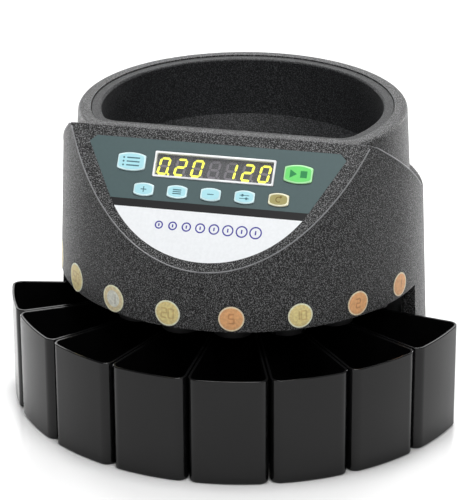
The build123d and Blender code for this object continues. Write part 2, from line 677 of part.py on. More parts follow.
def pedestal_wall():
    """The curved wall behind the boxes' inner ends."""
    wall = tube(PEDESTAL_R, PEDESTAL_R + 2, PAN_TOP, DECK_Z - 0.2)
    return wall & pie(COLUMN_AZ + 1, 200, 0, 200)


def base_pan():
    """The floor plate of pedestal and column, with vent slots and raised edge."""
    plan = rod(PEDESTAL_R + 2, BODY_BOTTOM, PAN_TOP)
    column = rod(142.6, BODY_BOTTOM, PAN_TOP) - pie(COLUMN_AZ + 1.6, 200, 0, 20)
    pan = plan + column
    for side in (-1, 1):
        for step in range(6):
            x = side * (30 + 9 * step)
            pan -= block(x - 1.75, x + 1.75, 20, 60, 0, 10)
    for x, y in DECK_POSTS:
        pan -= rod(CLEAR_R, 0, 10, x, y)
    return pan


def base_screws():
    """Screws up through the base pan into the posts."""
    for x, y in DECK_POSTS:
        yield screw(x, y, BODY_BOTTOM, 3.2, 1.8, 1.4, 10, up=False)


def rubber_feet():
    """Seven round feet under the base pan."""
    for x, y in FEET:
        foot = rod(FOOT_R, 0, BODY_BOTTOM, x, y)
        yield chamfer(foot.edges().sort_by(Axis.Z)[0], 0.8)


# ---------------------------------------------------------------- electrics

def transformer_core():
    """The laminated core: a block with two windows."""
    core = block(-86, -34, 66, 84, PAN_TOP, PAN_TOP + 46)
    core -= block(-78, -66, 60, 90, PAN_TOP + 8, PAN_TOP + 38)
    return core - block(-54, -42, 60, 90, PAN_TOP + 8, PAN_TOP + 38)


def transformer_winding():
    """The wound bobbin round the core's middle leg."""
    coil = block(-77.6, -42.4, 55, 95, PAN_TOP + 8.4, PAN_TOP + 37.6)
    coil = fillet(coil.edges().filter_by(Axis.Z), 5)
    return coil - block(-66, -54, 66, 84, PAN_TOP, PAN_TOP + 46)


def main_board():
    """The power and logic board on the floor of the column."""
    return block(28, 96, 64, 114, PAN_TOP + 8, PAN_TOP + 9.6) & rod(136, 0, 60)


def board_parts():
    """Capacitors, heat sink, relay and connectors on the main board."""
    top = PAN_TOP + 9.6
    yield rod(8, top, top + 26, 42, 76)
    yield rod(6, top, top + 18, 60, 74)
    yield block(70, 88, 68, 71, top, top + 30)
    yield block(66, 82, 84, 96, top, top + 14)
    yield block(34, 58, 98, 104, top, top + 10)
    yield block(44, 58, 84, 92, top, top + 4)


def board_spacers():
    """Plain spacers under the main board's corners."""
    for x, y in [(33, 69), (33, 109), (91, 69), (70, 109)]:
        yield tube(1.4, 3, PAN_TOP, PAN_TOP + 8, x, y)


def rear_plate():
    """The flat plate in the rear pocket, with its cut-outs."""
    half = PLATE_W / 2 + 2
    plate = block(-half, half, PLATE_Y - PLATE_THICK, PLATE_Y, PLATE_Z0 - 2, PLATE_Z1 + 2)
    plate -= block(-41, -13, 120, 140, 34, 54)
    plate -= block(-3.6, 15.6, 120, 140, 33.4, 54.6)
    plate -= block(25.6, 42.4, 120, 140, 46, 54)
    plate -= Pos(34, PLATE_Y, 33) * Rot(90, 0, 0) * Cylinder(6.1, 20)
    for x, z in PLATE_SCREWS:
        plate -= Pos(x, PLATE_Y, z) * Rot(90, 0, 0) * Cylinder(1.7, 20)
    return plate


def plate_screws():
    """The screws at the rear plate's corners."""
    for x, z in PLATE_SCREWS:
        yield Pos(x, PLATE_Y, z) * (Rot(-90, 0, 0) * screw(0, 0, 0, 2.8, 2.0, 1.5, 6))


def power_inlet():
    """The three-pin mains inlet: flanged shell with its socket and pins."""
    flange = block(-43, -11, PLATE_Y, PLATE_Y + 2.5, 32, 56)
    flange = fillet(flange.edges().filter_by(Axis.Y), 3)
    shell = flange + block(-40.8, -13.2, PLATE_Y - 20, PLATE_Y + 1, 34.2, 53.8)
    mouth = block(-39, -15, PLATE_Y - 16, PLATE_Y + 5, 36, 52)
    mouth = chamfer(mouth.edges().filter_by(Axis.Y).sort_by(Axis.Z)[-2:], 4)
    shell -= mouth
    for x, z in [(-34, 42), (-27, 46), (-20, 42)]:
        shell += block(x - 1, x + 1, PLATE_Y - 17, PLATE_Y - 3, z - 2, z + 2)
    return shell


def switch_frame():
    """The power switch's body with an open mouth for the rocker."""
    flange = block(ROCKER_X - 11, ROCKER_X + 11, PLATE_Y, PLATE_Y + 1.8, ROCKER_Z - 12.5, ROCKER_Z + 12.5)
    flange = fillet(flange.edges().filter_by(Axis.Y), 1.5)
    can = block(ROCKER_X - 9.4, ROCKER_X + 9.4, PLATE_Y - 18, PLATE_Y + 1, ROCKER_Z - 10.4, ROCKER_Z + 10.4)
    mouth = block(ROCKER_X - 7.6, ROCKER_X + 7.6, PLATE_Y - 9, PLATE_Y + 5, ROCKER_Z - 9.2, ROCKER_Z + 9.2)
    sockets = Pos(ROCKER_X, PLATE_Y, ROCKER_Z) * Rot(0, 90, 0) * Cylinder(ROCKER_PIN_R + 0.1, 17.6)
    return flange + can - mouth - sockets


def power_rocker():
    """The rocker: a shallow V seen from the side, on two short pins, tipped to off."""
    outline = Polyline((-8.3, 2.4), (0, 0.6), (8.3, 2.4), (7.6, -1.6), (0, -4.6), (-7.6, -1.6), close=True)
    rocker = extrude(Plane.YZ * Rot(0, 0, 90) * make_face(outline), amount=7.2, both=True)
    rocker = Rot(ROCKER_TILT, 0, 0) * (rocker + Rot(0, 90, 0) * Cylinder(ROCKER_PIN_R, 17.0))
    return Pos(ROCKER_X, PLATE_Y, ROCKER_Z) * rocker


def fuse_holder():
    """The round screw-cap fuse holder."""
    body = Rot(90, 0, 0) * Cylinder(6.0, 30)
    flange = Pos(0, 0.9, 0) * Rot(90, 0, 0) * Cylinder(8, 1.8)
    cap = Pos(0, 4, 0) * Rot(90, 0, 0) * Cylinder(5.5, 5)
    slot = block(-4, 4, 5.4, 8, -0.6, 0.6)
    return Pos(34, PLATE_Y, 33) * (Pos(0, -13, 0) * body + flange + cap - slot)


def data_port():
    """The small service socket above the fuse."""
    shell = block(25.8, 42.2, PLATE_Y - 12, PLATE_Y + 1.2, 46.2, 53.8)
    return shell - block(27.2, 40.8, PLATE_Y - 8, PLATE_Y + 3, 47.6, 52.4)


# ---------------------------------------------------------------- coin boxes

def box_face(inset):
    """A wedge between two arcs, with rounded corners, pointing to the front."""
    half = math.radians(BOX_PITCH / 2)
    side = BOX_SIDE_GAP + inset
    inner, outer = BOX_IN_R + inset, BOX_OUT_R - inset

    def corner(radius):
        """Where a circle meets the wedge's side line, on the +x side."""
        along = math.sqrt(radius ** 2 - side ** 2)
        across = along * math.sin(half) - side * math.cos(half)
        return (across, -along * math.cos(half) - side * math.sin(half))

    far, near = corner(outer), corner(inner)
    outline = [
        ThreePointArc((-far[0], far[1]), (0, -outer), far),
        Line(far, near),
        ThreePointArc(near, (0, -inner), (-near[0], near[1])),
        Line((-near[0], near[1]), (-far[0], far[1])),
    ]
    face = make_face(outline)
    corners = face.vertices().sort_by(Axis.Y)
    face = fillet(corners[:2], 7.5 - inset)
    return fillet(face.vertices().sort_by(Axis.Y)[-2:], 3.5 - inset / 2)


def coin_box(index):
    """One open-topped coin box."""
    body = extrude(box_face(0), amount=BOX_HEIGHT)
    body = fillet(body.faces().sort_by(Axis.Z)[0].edges(), 1.6)
    hollow = Pos(0, 0, BOX_WALL) * extrude(box_face(BOX_WALL), amount=BOX_HEIGHT)
    body -= hollow
    rim = body.faces().sort_by(Axis.Z)[-1].edges()
    body = fillet(rim, 0.5)
    return Rot(0, 0, box_azimuth(index)) * body


# ---------------------------------------------------------------- write every node

def main():
    save("housing", housing())
    save("panel_overlay", panel_overlay())
    save("display_frame", display_frame())
    save("display_window", display_window())
    save("display_modules", *display_modules())
    save("control_board", control_board())
    save("control_board_screws", *board_screws())
    save("tact_switches", *tact_switches())
    for name in KEYS:
        save(name, key_cap(name))
    save("coin_labels", *[coin_label(index) for index in range(BOXES)])
    for index in range(BOXES):
        save(f"coin_box_{index + 1}", coin_box(index))
    save("hopper_tower", hopper_tower())
    save("hopper_bowl", hopper_bowl())
    save("coin_guide_ring", coin_guide_ring())
    save("rail_ring", rail_ring())
    save("rail_pillars", *rail_pillars())
    save("chute_plate", chute_plate())
    save("coin_chutes", *coin_chutes())
    save("sorting_disc", sorting_disc())
    save("hub_knob", hub_knob())
    save("sensor_board", sensor_board())
    save("coin_sensors", *coin_sensors())
    save("drive_gear", drive_gear())
    save("motor_pinion", motor_pinion())
    save("main_shaft", main_shaft())
    save("bearing_housing", bearing_housing())
    save("shaft_bearings", *shaft_bearings())
    save("gearbox", gearbox())
    save("drive_motor", drive_motor())
    save("chassis_deck", chassis_deck())
    save("deck_posts", *deck_posts())
    save("chassis_screws", *deck_screws(), *housing_screws(), *base_screws())
    save("pedestal_wall", pedestal_wall())
    save("base_pan", base_pan())
    save("rubber_feet", *rubber_feet())
    save("transformer_core", transformer_core())
    save("transformer_winding", transformer_winding())
    save("main_board", main_board())
    save("main_board_parts", *board_parts())
    save("board_spacers", *board_spacers())
    save("rear_plate", rear_plate())
    save("rear_plate_screws", *plate_screws())
    save("power_inlet", power_inlet())
    save("switch_frame", switch_frame())
    save("power_rocker", power_rocker())
    save("fuse_holder", fuse_holder())
    save("data_port", data_port())


main()
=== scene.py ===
import json
import math
import bmesh
import bpy
from mathutils import Matrix, Vector
from mathutils.geometry import delaunay_2d_cdt


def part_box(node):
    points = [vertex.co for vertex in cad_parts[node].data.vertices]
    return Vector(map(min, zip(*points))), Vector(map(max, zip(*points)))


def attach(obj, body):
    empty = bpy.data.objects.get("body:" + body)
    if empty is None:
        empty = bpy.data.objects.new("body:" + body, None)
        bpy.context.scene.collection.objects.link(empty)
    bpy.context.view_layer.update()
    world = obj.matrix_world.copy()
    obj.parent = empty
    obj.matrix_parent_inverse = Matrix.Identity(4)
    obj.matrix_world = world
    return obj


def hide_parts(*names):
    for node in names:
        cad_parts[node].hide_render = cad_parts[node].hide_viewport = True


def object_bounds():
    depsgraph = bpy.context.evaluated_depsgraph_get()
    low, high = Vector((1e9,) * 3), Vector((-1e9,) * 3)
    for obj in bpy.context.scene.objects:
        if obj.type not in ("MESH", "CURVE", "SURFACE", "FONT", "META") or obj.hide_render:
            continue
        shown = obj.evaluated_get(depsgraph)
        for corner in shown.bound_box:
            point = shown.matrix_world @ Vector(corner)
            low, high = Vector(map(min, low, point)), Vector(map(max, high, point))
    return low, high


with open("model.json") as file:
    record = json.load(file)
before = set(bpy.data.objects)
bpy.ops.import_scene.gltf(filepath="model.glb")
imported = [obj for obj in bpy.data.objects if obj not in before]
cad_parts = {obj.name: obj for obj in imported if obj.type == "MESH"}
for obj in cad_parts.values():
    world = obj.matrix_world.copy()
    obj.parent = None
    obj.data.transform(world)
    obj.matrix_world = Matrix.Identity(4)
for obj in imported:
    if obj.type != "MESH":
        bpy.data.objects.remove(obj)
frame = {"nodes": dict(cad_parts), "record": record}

CAD_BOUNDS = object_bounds()
MM = 0.001

# ---------------------------------------------------------------- camera and stage
# Driving values, in metres and degrees.
CAMERA_AZIMUTH = 13.75          # towards +X from the front
CAMERA_ELEVATION = 22.66
CAMERA_DISTANCE = 2.0575
CAMERA_TARGET = Vector((-0.0081, 0.0156, 0.1114))
CAMERA_ROLL = -0.27
CAMERA_LENS = 189.9             # millimetres, along the picture's long side
SENSOR = 36.0                   # millimetres
CLIP_END = 20.0
LIGHT_CENTRE = Vector((0, 0, 0.1))
WORLD_STRENGTH = 0.13
# name, azimuth, elevation, distance, width, watts, height over width
LIGHTS = [
    ("top_softbox", 0, 84, 1.5, 0.6, 19, 1.0),
    ("left_softbox", -130, 10, 1.4, 0.3, 8.0, 3.0),
    ("right_softbox", 153, 10, 1.4, 0.3, 8.0, 3.0),
    ("front_fill", 30, 44, 2.2, 0.8, 10, 1.0),
    ("back_softbox", 192, 24, 2.2, 1.5, 9.5, 0.6),
    ("floor_wash", 180, 62, 2.6, 1.8, 30, 1.0),
]


def direction(azimuth, elevation):
    """The unit vector from the origin towards a place seen at that azimuth and elevation."""
    a, e = math.radians(azimuth), math.radians(elevation)
    return Vector((math.sin(a) * math.cos(e), -math.cos(a) * math.cos(e), math.sin(e)))


def aim(thing, target, roll=0.0):
    """Turn a camera or light so that it looks at target."""
    turn = (target - thing.location).to_track_quat("-Z", "Y")
    thing.rotation_euler = (turn.to_matrix() @ Matrix.Rotation(math.radians(roll), 3, "Z")).to_euler()


def add_camera():
    """The photograph's viewpoint."""
    data = bpy.data.cameras.new("camera")
    data.lens = CAMERA_LENS
    data.sensor_width = SENSOR
    data.clip_end = CLIP_END
    camera = bpy.data.objects.new("camera", data)
    bpy.context.scene.collection.objects.link(camera)
    camera.location = CAMERA_TARGET + CAMERA_DISTANCE * direction(CAMERA_AZIMUTH, CAMERA_ELEVATION)
    aim(camera, CAMERA_TARGET, CAMERA_ROLL)
    bpy.context.scene.camera = camera


def add_light(name, azimuth, elevation, distance, size, watts, shape_ratio):
    """One softbox, aimed at the machine."""
    data = bpy.data.lights.new(name, "AREA")
    data.shape = "RECTANGLE"
    data.size, data.size_y = size, size * shape_ratio
    data.energy = watts
    light = bpy.data.objects.new(name, data)
    bpy.context.scene.collection.objects.link(light)
    light.location = LIGHT_CENTRE + distance * direction(azimuth, elevation)
    aim(light, LIGHT_CENTRE)


def add_lights():
    """The softboxes, a dim white world, and plain colours without a film look."""
    for values in LIGHTS:
        add_light(*values)
    world = bpy.data.worlds.new("studio")
    bpy.context.scene.world = world
    world.use_nodes = True
    background = world.node_tree.nodes["Background"]
    background.inputs["Color"].default_value = (1, 1, 1, 1)
    background.inputs["Strength"].default_value = WORLD_STRENGTH
    bpy.context.scene.view_settings.view_transform = "Standard"


# ---------------------------------------------------------------- material helpers

class Shader:
    """A Principled material with a few short ways to add procedural detail to it."""

    def __init__(self, name, base, rough, metallic=0.0, **sockets):
        self.material = bpy.data.materials.new(name)
        self.material.use_nodes = True
        self.tree = self.material.node_tree
        self.bsdf = self.tree.nodes["Principled BSDF"]
        self.set("Base Color", (*base, 1))
        self.set("Roughness", rough)
        self.set("Metallic", metallic)
        for key, value in sockets.items():
            self.set(key.replace("_", " "), value)
        self.place = self.tree.nodes.new("ShaderNodeTexCoord").outputs["Object"]
        self.bumps = None

    def set(self, socket, value):
        self.bsdf.inputs[socket].default_value = value

    def link(self, source, target):
        self.tree.links.new(source, target)

    def noise(self, scale, detail=2.0, stretch=None):
        """Noise over the object's own coordinates; stretch squeezes it along some axes."""
        node = self.tree.nodes.new("ShaderNodeTexNoise")
        node.inputs["Scale"].default_value = scale
        node.inputs["Detail"].default_value = detail
        place = self.place
        if stretch:
            mapping = self.tree.nodes.new("ShaderNodeMapping")
            mapping.inputs["Scale"].default_value = stretch
            self.link(place, mapping.inputs["Vector"])
            place = mapping.outputs["Vector"]
        self.link(place, node.inputs["Vector"])
        return node.outputs["Fac"]

    def ramp(self, source, low, high, start=0.35, end=0.65):
        """Turn a 0-1 value into a colour between low and high."""
        node = self.tree.nodes.new("ShaderNodeValToRGB")
        node.color_ramp.elements[0].position = start
        node.color_ramp.elements[1].position = end
        node.color_ramp.elements[0].color = (*low, 1)
        node.color_ramp.elements[1].color = (*high, 1)
        self.link(source, node.inputs["Fac"])
        return node.outputs["Color"]

    def spread(self, source, low, high):
        """Turn a 0-1 value into a number between low and high."""
        node = self.tree.nodes.new("ShaderNodeMapRange")
        node.inputs["From Min"].default_value = 0.3
        node.inputs["From Max"].default_value = 0.7
        node.inputs["To Min"].default_value = low
        node.inputs["To Max"].default_value = high
        self.link(source, node.inputs["Value"])
        return node.outputs["Result"]

    def colour(self, source, low, high, start=0.35, end=0.65):
        self.link(self.ramp(source, low, high, start, end), self.bsdf.inputs["Base Color"])
        return self

    def rough(self, source, low, high):
        self.link(self.spread(source, low, high), self.bsdf.inputs["Roughness"])
        return self

    def bump(self, source, strength, depth):
        """Add a bump of that depth in metres; several stack up."""
        node = self.tree.nodes.new("ShaderNodeBump")
        node.inputs["Strength"].default_value = strength
        node.inputs["Distance"].default_value = depth
        self.link(source, node.inputs["Height"])
        if self.bumps:
            self.link(self.bumps, node.inputs["Normal"])
        self.bumps = node.outputs["Normal"]
        self.link(self.bumps, self.bsdf.inputs["Normal"])
        return self


def grained_plastic_painted_glints(name, dark, light, rough, grain, depth):
    """Spark-eroded mould grain as a matching bump, with light speckles in the tone that are painted
    glints on the grain.
    """
    shader = Shader(name, dark, rough, Specular_IOR_Level=0.3)
    grain_and_glints = shader.noise(grain, 1.0)
    # light is the tone of the painted glints on the grain's peaks; the bump below is the real grain.
    shader.colour(grain_and_glints, dark, light, 0.5, 0.64)
    shader.rough(shader.noise(grain * 0.4), rough - 0.06, rough + 0.08)
    shader.bump(grain_and_glints, 0.8, depth)
    return shader.material


def smooth_plastic(name, base, rough, level=0.5):
    """Polished moulding: a little unevenness in gloss and a very soft wave."""
    shader = Shader(name, base, rough, Specular_IOR_Level=level)
    low = tuple(c * 0.88 for c in base)
    high = tuple(min(1.0, c * 1.1) for c in base)
    shader.colour(shader.noise(60), low, high)
    shader.rough(shader.noise(35, 3.0), rough * 0.8, rough * 1.25)
    shader.bump(shader.noise(90), 0.25, 0.00002)
    return shader.material


def metal(name, base, rough, stretch, grain=900, spangle=0.0):
    """Bare or plated metal with fine directional marks and, if asked, zinc's uneven tone."""
    shader = Shader(name, base, rough, 1.0)
    marks = shader.noise(grain, 3.0, stretch)
    low = tuple(c * (0.9 - spangle) for c in base)
    high = tuple(min(1, c * (1.05 + spangle)) for c in base)
    shader.colour(shader.noise(55, 2.0) if spangle else marks, low, high)
    shader.rough(marks, rough * 0.75, rough * 1.3)
    shader.bump(marks, 0.2, 0.00003)
    return shader.material


def print_ink(name, base, rough=0.3, emission=0.0):
    """Printed or lit colour with a faint unevenness."""
    shader = Shader(name, base, rough)
    grain = shader.noise(420, 2.0)
    shader.colour(grain, tuple(c * 0.98 for c in base), tuple(min(1, c * 1.02) for c in base))
    shader.bump(grain, 0.1, 0.00002)
    if emission:
        shader.set("Emission Color", (*base, 1))
        shader.set("Emission Strength", emission)
    return shader.material


# ---------------------------------------------------------------- the materials

# Grained mouldings: the bump is the real grain, and the light speckles are painted glints.
BLACK_GRAIN = grained_plastic_painted_glints(
    "black_grain", (0.003, 0.003, 0.0032), (0.2, 0.201, 0.205), 0.46, 1400, 0.0004)
BOWL_GRAIN = grained_plastic_painted_glints(
    "bowl_grain", (0.006, 0.0062, 0.0066), (0.066, 0.068, 0.072), 0.52, 1300, 0.0003)
# A lighter tone for the edge beads: a painted highlight along the edge of cone and roof.
PAINTED_EDGE_HIGHLIGHT = smooth_plastic("painted_edge_highlight", (0.21, 0.212, 0.22), 0.34)
BOX_BLACK = smooth_plastic("box_black", (0.004, 0.004, 0.0042), 0.15, 0.32)
PART_BLACK = smooth_plastic("part_black", (0.014, 0.014, 0.015), 0.32)
SLATE = print_ink("slate_print", (0.068, 0.108, 0.112), 0.42)
STRIPE = print_ink("stripe_print", (0.012, 0.012, 0.013), 0.36)
WHITE = print_ink("white_print", (0.83, 0.85, 0.87), 0.36)
BLUE = print_ink("blue_print", (0.03, 0.022, 0.30), 0.4)
SHEET_EDGE = print_ink("sheet_edge", (0.02, 0.025, 0.027), 0.5)
BEZEL = smooth_plastic("bezel_white", (0.88, 0.89, 0.90), 0.3)
LED_FACE = smooth_plastic("led_face", (0.004, 0.0035, 0.005), 0.35)
LED_LIT = print_ink("led_lit", (0.93, 0.92, 0.05), 0.35, 0.75)
LED_DIM = print_ink("led_dim", (0.135, 0.12, 0.14), 0.35)
KEY_CYAN = print_ink("key_cyan", (0.42, 0.74, 0.81), 0.36)
KEY_CYAN_EDGE = smooth_plastic("key_cyan_edge", (0.64, 0.84, 0.87), 0.34)
KEY_GREEN = print_ink("key_green", (0.16, 0.70, 0.17), 0.36)
KEY_GREEN_EDGE = smooth_plastic("key_green_edge", (0.43, 0.82, 0.42), 0.34)
KEY_OLIVE = print_ink("key_olive", (0.37, 0.33, 0.13), 0.36)
KEY_OLIVE_EDGE = smooth_plastic("key_olive_edge", (0.80, 0.78, 0.58), 0.3)
KEY_MARK = print_ink("key_mark", (0.05, 0.15, 0.19), 0.4)
GREEN_MARK = print_ink("green_mark", (0.02, 0.25, 0.07), 0.4)
OLIVE_MARK = print_ink("olive_mark", (0.19, 0.13, 0.03), 0.4)
ZINC = metal("zinc_steel", (0.72, 0.74, 0.77), 0.42, (1, 1, 0.15), 700, 0.06)
STEEL = metal("bright_steel", (0.60, 0.61, 0.63), 0.25, (1, 1, 0.1))
MOTOR = metal("motor_can", (0.36, 0.37, 0.39), 0.38, (1, 1, 0.1))
ALLOY = metal("turned_alloy", (0.46, 0.47, 0.49), 0.38, (0.2, 0.2, 1))
IRON = metal("laminated_iron", (0.20, 0.20, 0.21), 0.5, (1, 0.1, 1), 1400)
COPPER = metal("copper_winding", (0.72, 0.33, 0.15), 0.32, (1, 1, 0.02), 2600)
ACETAL = smooth_plastic("acetal", (0.80, 0.79, 0.74), 0.4)
BOARD = smooth_plastic("solder_mask", (0.012, 0.14, 0.045), 0.35)
CHIPS = smooth_plastic("board_parts", (0.03, 0.03, 0.034), 0.45)
RUBBER = grained_plastic_painted_glints("rubber", (0.012, 0.012, 0.012), (0.035, 0.035, 0.035), 0.75, 1200, 0.00005)


def clear_pane():
    """Clear acrylic: mostly see-through, with a light gloss."""
    shader = Shader("clear_pane", (0.9, 0.92, 0.95), 0.05)
    shader.rough(shader.noise(40), 0.03, 0.08)
    shader.set("Alpha", 0.06)
    return shader.material


SLOT_MATERIALS = {
    "textured_black": BLACK_GRAIN, "smooth_black": PART_BLACK, "bowl_grey": BOWL_GRAIN,
    "panel_print": SLATE, "bezel_white": BEZEL, "window_clear": clear_pane(), "led_module": LED_FACE,
    "key_cyan": KEY_CYAN_EDGE, "key_green": KEY_GREEN_EDGE, "key_olive": KEY_OLIVE_EDGE,
    "label_print": WHITE, "board_green": BOARD, "board_parts": CHIPS, "zinc_steel": ZINC,
    "screw_steel": STEEL, "shaft_steel": STEEL, "motor_steel": MOTOR, "disc_alloy": ALLOY,
    "gear_acetal": ACETAL, "rubber_black": RUBBER, "copper_wire": COPPER, "core_iron": IRON,
}


def dress_cad_nodes():
    """Give every carried-over CAD node the material of its slot in the record."""
    for entry in frame["record"]["subparts"]:
        node = frame["nodes"][entry["node"]]
        material = SLOT_MATERIALS[entry["material_slot"]]
        if entry["node"].startswith("coin_box"):
            material = BOX_BLACK
        node.data.materials.clear()
        node.data.materials.append(material)


# ---------------------------------------------------------------- flat artwork

def inside(point, ring):
    """Whether a 2-D point lies inside a closed ring of points."""
    x, y = point
    found = False
    for (x0, y0), (x1, y1) in zip(ring, ring[1:] + ring[:1]):
        if (y0 > y) != (y1 > y) and x < (x1 - x0) * (y - y0) / (y1 - y0) + x0:
            found = not found
    return found


def arc(centre, radius, start, end, steps):
    """Points on an arc, angles in degrees."""
    points = []
    for step in range(steps + 1):
        angle = math.radians(start + (end - start) * step / steps)
        points.append((centre[0] + radius * math.cos(angle), centre[1] + radius * math.sin(angle)))
    return points


def circle(centre, radius, steps=40):
    return arc(centre, radius, 0, 360, steps)[:-1]


def bar(a, b, width):
    """A straight stroke from a to b."""
    (x0, y0), (x1, y1) = a, b
    length = math.hypot(x1 - x0, y1 - y0)
    nx, ny = -(y1 - y0) / length * width / 2, (x1 - x0) / length * width / 2
    return [(x0 + nx, y0 + ny), (x0 - nx, y0 - ny), (x1 - nx, y1 - ny), (x1 + nx, y1 + ny)]


class Sheet:
    """Flat coloured art: outlines are cut into one triangle mesh, and each triangle takes the
    colour of the last region whose outline holds its middle. A region with no colour is a hole.
    If there is a limit, an outline, nothing outside it is kept."""

    def __init__(self, limit=None):
        self.regions = []
        self.limit = limit

    def add(self, ring, colour):
        self.regions.append((ring, colour))
        return self

    def triangles(self):
        points, edges = [], []
        for ring, _ in self.regions:
            first = len(points)
            points.extend(Vector(p) for p in ring)
            edges.extend((first + i, first + (i + 1) % len(ring)) for i in range(len(ring)))
        verts, _, faces, *_ = delaunay_2d_cdt(points, edges, [], 0, 1e-5)
        kept = []
        for face in faces:
            middle = sum((verts[i] for i in face), Vector((0, 0))) / len(face)
            colour = None
            for ring, shade in self.regions:
                if inside(middle, ring):
                    colour = shade
            within = self.limit is None or inside(middle, self.limit)
            if colour is not None and within:
                kept.append((face, colour))
        return verts, kept

    def build(self, name, place, palette, thickness=0.0, edge=None, subdivide=None):
        """Make the mesh object. place turns (u, v, height) into a point in metres; edge is the
        palette's place for the sides of a sheet with a thickness."""
        verts, faces = self.triangles()
        mesh = bmesh.new()
        flat = [mesh.verts.new((v.x, v.y, 0)) for v in verts]
        for face, colour in faces:
            made = mesh.faces.new([flat[i] for i in face])
            made.material_index = colour
        loose = [v for v in mesh.verts if not v.link_faces]
        bmesh.ops.delete(mesh, geom=loose, context="VERTS")
        if subdivide:
            subdivide(mesh)
        if thickness:
            top = list(mesh.faces)
            border = [e for e in mesh.edges if len(e.link_faces) == 1]
            made = bmesh.ops.extrude_edge_only(mesh, edges=border)["geom"]
            for item in made:
                if isinstance(item, bmesh.types.BMVert):
                    item.co.z -= thickness
            for face in mesh.faces:
                if face not in top:
                    face.material_index = edge
        for vert in mesh.verts:
            vert.co = place(vert.co.x, vert.co.y, vert.co.z)
        bmesh.ops.recalc_face_normals(mesh, faces=mesh.faces)
        data = bpy.data.meshes.new(name)
        mesh.to_mesh(data)
        mesh.free()
        for material in palette:
            data.materials.append(material)
        piece = bpy.data.objects.new(name, data)
        bpy.context.scene.collection.objects.link(piece)
        return piece


# ---------------------------------------------------------------- the control panel
# Millimetres on the panel: u across, v up its slope, from the same start as the CAD sketches.
PANEL_TILT = math.radians(52)
OVERLAY_TOP, OVERLAY_BOTTOM = -6.6, -97.4
OVERLAY_HALF, OVERLAY_CHAMFER = 97.2, 4.9
OVERLAY_ARC_R, OVERLAY_ARC_V = 85.4, -12.0
SLATE_END, STRIPE_END = -53.4, -59.4
DISPLAY_V, DISPLAY_W, DISPLAY_H = -25.25, 91.6, 19.9
# width, height at the middle and height at the sides, for the two wide keys and the small ones
KEY_SIZES = {True: (21.4, 14.3, 10.4), False: (15.3, 10.2, 7.0)}
KEY_GAP = 0.35                  # between a key and its opening
KEY_CORNER = 0.9
KEY_PROUD = 1.0                 # of a key's face over the sheet
KEY_BORDER = 1.15               # of bare key round its tinted field
DISPLAY_GAP = 0.15              # between the bezel and its opening
SHEET_THICKNESS = 0.5
PRINT_LIFT = 0.03               # of a print over what it is printed on
BAND_HALF, BAND_PAST = 120, 5   # the colour bands are cut off at the sheet's outline
WIDE_KEYS = ("key_report", "key_start")
KEYS = ("key_report", "key_start", "key_plus", "key_batch", "key_minus", "key_settings", "key_clear")
LED_DEPTH = -2.7                # of the display's face
COIN_ROW_LEFT, COIN_ROW_RIGHT, COIN_ROW_V = -38.0, 41.0, -71.5
COIN_ROW_COUNT, COIN_ROW_SMALL, COIN_ROW_GROWTH = 8, 3.1, 1.6
COIN_ROW_MARGIN, COIN_ROW_STROKE, COIN_ROW_MARK = 3.9, 1.0, 0.34


def drum_axis_y():
    """Where the drum's upright axis stands, from the sorting disc's box."""
    low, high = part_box("sorting_disc")
    return (low.y + high.y) / 2


def panel_frame():
    """The panel's start point, read back from the overlay's box."""
    low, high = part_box("panel_overlay")
    start_y = low.y - OVERLAY_BOTTOM * MM * math.cos(PANEL_TILT)
    start_z = high.z - OVERLAY_TOP * MM * math.sin(PANEL_TILT)
    return Vector((0, start_y, start_z))


AXIS_Y = drum_axis_y()
PANEL_START = panel_frame()
PANEL_UP = Vector((0, math.cos(PANEL_TILT), math.sin(PANEL_TILT)))
PANEL_OUT = Vector((0, -math.sin(PANEL_TILT), math.cos(PANEL_TILT)))


def on_panel(lift):
    """A place function for a sheet that lies lift millimetres above the panel."""
    def place(u, v, height):
        return PANEL_START + MM * (Vector((u, 0, 0)) + v * PANEL_UP + (height + lift) * PANEL_OUT)
    return place


def overlay_ring():
    """The sheet's outline: chamfered top, straight sides tangent to a round bottom."""
    reach = math.degrees(math.acos(OVERLAY_ARC_R / OVERLAY_HALF))
    top, half, cut = OVERLAY_TOP, OVERLAY_HALF, OVERLAY_CHAMFER
    bottom = arc((0, OVERLAY_ARC_V), OVERLAY_ARC_R, 180 + reach, 360 - reach, 64)
    return [(half, top - cut), (half - cut, top), (-half + cut, top), (-half, top - cut)] + bottom


def key_centre(name):
    """The middle of a key's cap, across and up the panel, from the key's own mesh."""
    points = [vertex.co - PANEL_START for vertex in frame["nodes"][name].data.vertices]
    cap = [point for point in points if point.dot(PANEL_OUT) > 0]
    across = [point.x / MM for point in cap]
    up = [point.dot(PANEL_UP) / MM for point in cap]
    return (min(across) + max(across)) / 2, (min(up) + max(up)) / 2


def key_ring(name, grow=0.0):
    """A key's outline, grown by grow: upright sides, bowed top and bottom."""
    u, v = key_centre(name)
    width, middle, side = KEY_SIZES[name in WIDE_KEYS]
    half, tall, short = width / 2 + grow, middle / 2 + grow, side / 2 + grow
    bow = tall - short
    radius = (half ** 2 + bow ** 2) / (2 * bow)
    spread = math.degrees(math.asin(half / radius))
    inner = spread * (1 - KEY_CORNER / half)
    top = arc((u, v + tall - radius), radius, 90 - inner, 90 + inner, 12)
    bottom = arc((u, v - tall + radius), radius, 270 - inner, 270 + inner, 12)
    side_v = short - KEY_CORNER
    left = [(u - half, v + side_v), (u - half, v - side_v)]
    right = [(u + half, v - side_v), (u + half, v + side_v)]
    return top + left + bottom + right


def band(low, high):
    """A strip across the panel between two heights."""
    return [(-BAND_HALF, low), (BAND_HALF, low), (BAND_HALF, high), (-BAND_HALF, high)]


